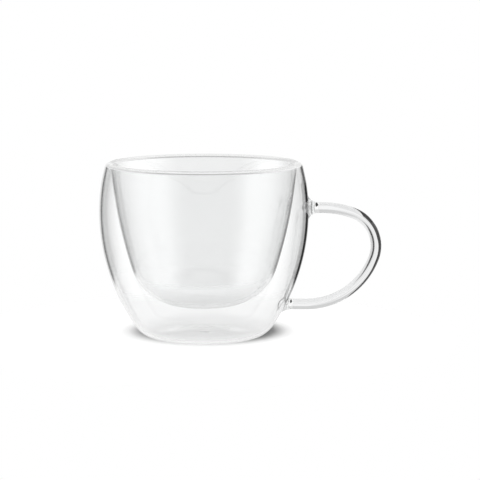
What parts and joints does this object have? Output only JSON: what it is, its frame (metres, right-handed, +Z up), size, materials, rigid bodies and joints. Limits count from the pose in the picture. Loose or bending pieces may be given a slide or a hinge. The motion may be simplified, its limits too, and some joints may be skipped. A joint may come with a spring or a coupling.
{
  "type": "double walled glass cup",
  "caption": "Clear double walled glass cup: a thin inner bowl hangs in a rounded outer bowl from a fused lip, with a bent glass rod handle.",
  "frame": {"origin": "on the axis of the cup, in the plane of the flat foot that it stands on", "axes": "+Z up along the axis of the cup, +X out towards the handle, +Y away from the picture's viewer"},
  "size_m": [0.1321, 0.098, 0.082],
  "materials": {
    "bowl_glass": "clear polished",
    "rod_glass": "clear fire polished",
    "weld_glass": "clear melted"
  },
  "bodies": {
    "root": {"outer_bowl": "bowl_glass", "inner_bowl": "bowl_glass", "lip_weld": "bowl_glass", "handle_rod": "rod_glass", "upper_weld": "weld_glass", "lower_weld": "weld_glass", "base_seal": "weld_glass"}
  },
  "joints": []
}
